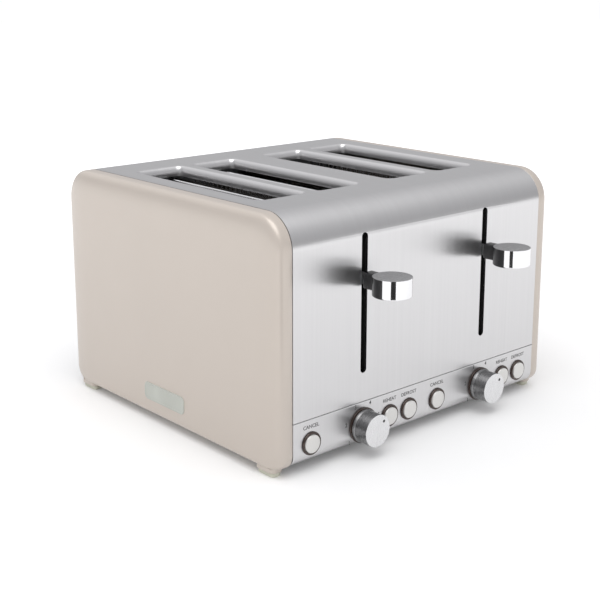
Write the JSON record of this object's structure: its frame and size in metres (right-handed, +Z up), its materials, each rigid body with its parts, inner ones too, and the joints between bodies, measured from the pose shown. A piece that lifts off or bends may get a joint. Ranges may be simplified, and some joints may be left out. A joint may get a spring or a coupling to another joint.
{
  "type": "pop up toaster",
  "caption": "Wide pop-up toaster with long slots side by side, brushed steel skin, rounded cream end caps, round lever knobs, browning dials and push buttons.",
  "frame": {"origin": "centre of the bounding box in X and Y, on the surface that the feet stand on", "axes": "+X to the right when facing the levers, +Y from the levers to the back, +Z up"},
  "size_m": [0.29, 0.311, 0.185],
  "materials": {
    "steel_brushed": "satin, brushed",
    "cap_cream": "satin paint-like plastic",
    "chrome": "polished with a brushed face",
    "bronze": "dark bronze-brown, semi-gloss",
    "button_face": "pearl silver",
    "black_plastic": "matt",
    "galvanised": "dull zinc",
    "wire_steel": "bright wire",
    "mica": "matt mica sheet",
    "circuit": "green lacquer",
    "copper": "enamelled copper coil",
    "plaque": "pearl silver",
    "foot": "soft pale plastic"
  },
  "bodies": {
    "body": {"steel_skin": "steel_brushed", "control_panel": "steel_brushed", "rear_panel": "black_plastic", "base_plate": "black_plastic", "end_cap_right": "cap_cream", "end_cap_left": "cap_cream", "side_plaque": "plaque", "foot_front_left": "foot", "foot_front_right": "foot", "foot_back_left": "foot", "foot_back_right": "foot", "dial_collar_left": "bronze", "browning_pot_left": "black_plastic", "button_ring_cancel_left": "bronze", "button_ring_reheat_left": "bronze", "button_ring_defrost_left": "bronze", "circuit_board_left": "circuit", "latch_magnet_left": "copper", "guide_rod_left": "chrome", "return_spring_left": "wire_steel", "heating_board_left_outer": "mica", "heating_board_left_middle": "mica", "heating_board_left_inner": "mica", "dial_collar_right": "bronze", "browning_pot_right": "black_plastic", "button_ring_cancel_right": "bronze", "button_ring_reheat_right": "bronze", "button_ring_defrost_right": "bronze", "circuit_board_right": "circuit", "latch_magnet_right": "copper", "guide_rod_right": "chrome", "return_spring_right": "wire_steel", "heating_board_right_outer": "mica", "heating_board_right_middle": "mica", "heating_board_right_inner": "mica", "bread_guard_left_outer": "wire_steel", "bread_guard_left_inner": "wire_steel", "bread_guard_right_inner": "wire_steel", "bread_guard_right_outer": "wire_steel", "front_wall": "galvanised", "back_wall": "galvanised", "cord_gland": "black_plastic"},
    "lever_left": {"lever_handle_left": "chrome", "carriage_left": "galvanised", "bread_rack_left_outer": "galvanised", "bread_rack_left_inner": "galvanised"},
    "dial_left": {"dial_left": "chrome"},
    "crumb_tray_left": {"crumb_tray_left": "galvanised"},
    "button_cancel_left": {"button_cancel_left": "button_face"},
    "button_reheat_left": {"button_reheat_left": "button_face"},
    "button_defrost_left": {"button_defrost_left": "button_face"},
    "lever_right": {"lever_handle_right": "chrome", "carriage_right": "galvanised", "bread_rack_right_outer": "galvanised", "bread_rack_right_inner": "galvanised"},
    "dial_right": {"dial_right": "chrome"},
    "crumb_tray_right": {"crumb_tray_right": "galvanised"},
    "button_cancel_right": {"button_cancel_right": "button_face"},
    "button_reheat_right": {"button_reheat_right": "button_face"},
    "button_defrost_right": {"button_defrost_right": "button_face"}
  },
  "joints": [
    {"name": "lever_left_slide", "type": "slide", "parent": "body", "child": "lever_left", "axis": [0, 0, 1], "range_m": [-0.062, 0.024], "stiffness_N_per_m": 60, "springref_m": 0.02, "deforming": ["return_spring_left"]},
    {"name": "dial_left_turn", "type": "hinge", "parent": "body", "child": "dial_left", "pos_m": [-0.0645, -0.11635, 0.0217], "axis": [0, -1, 0], "range_deg": [-83, 173]},
    {"name": "button_cancel_left_press", "type": "slide", "parent": "body", "child": "button_cancel_left", "axis": [0, 1, 0], "range_m": [0, 0.0022], "stiffness_N_per_m": 400, "springref_m": -0.001},
    {"name": "button_reheat_left_press", "type": "slide", "parent": "body", "child": "button_reheat_left", "axis": [0, 1, 0], "range_m": [0, 0.0022], "stiffness_N_per_m": 400, "springref_m": -0.001},
    {"name": "button_defrost_left_press", "type": "slide", "parent": "body", "child": "button_defrost_left", "axis": [0, 1, 0], "range_m": [0, 0.0022], "stiffness_N_per_m": 400, "springref_m": -0.001},
    {"name": "crumb_tray_left_slide", "type": "slide", "parent": "body", "child": "crumb_tray_left", "axis": [0, 1, 0], "range_m": [0, 0.19]},
    {"name": "lever_right_slide", "type": "slide", "parent": "body", "child": "lever_right", "axis": [0, 0, 1], "range_m": [-0.062, 0.024], "stiffness_N_per_m": 60, "springref_m": 0.02, "deforming": ["return_spring_right"]},
    {"name": "dial_right_turn", "type": "hinge", "parent": "body", "child": "dial_right", "pos_m": [0.0645, -0.11635, 0.0217], "axis": [0, -1, 0], "range_deg": [-83, 173]},
    {"name": "button_cancel_right_press", "type": "slide", "parent": "body", "child": "button_cancel_right", "axis": [0, 1, 0], "range_m": [0, 0.0022], "stiffness_N_per_m": 400, "springref_m": -0.001},
    {"name": "button_reheat_right_press", "type": "slide", "parent": "body", "child": "button_reheat_right", "axis": [0, 1, 0], "range_m": [0, 0.0022], "stiffness_N_per_m": 400, "springref_m": -0.001},
    {"name": "button_defrost_right_press", "type": "slide", "parent": "body", "child": "button_defrost_right", "axis": [0, 1, 0], "range_m": [0, 0.0022], "stiffness_N_per_m": 400, "springref_m": -0.001},
    {"name": "crumb_tray_right_slide", "type": "slide", "parent": "body", "child": "crumb_tray_right", "axis": [0, 1, 0], "range_m": [0, 0.19]}
  ]
}
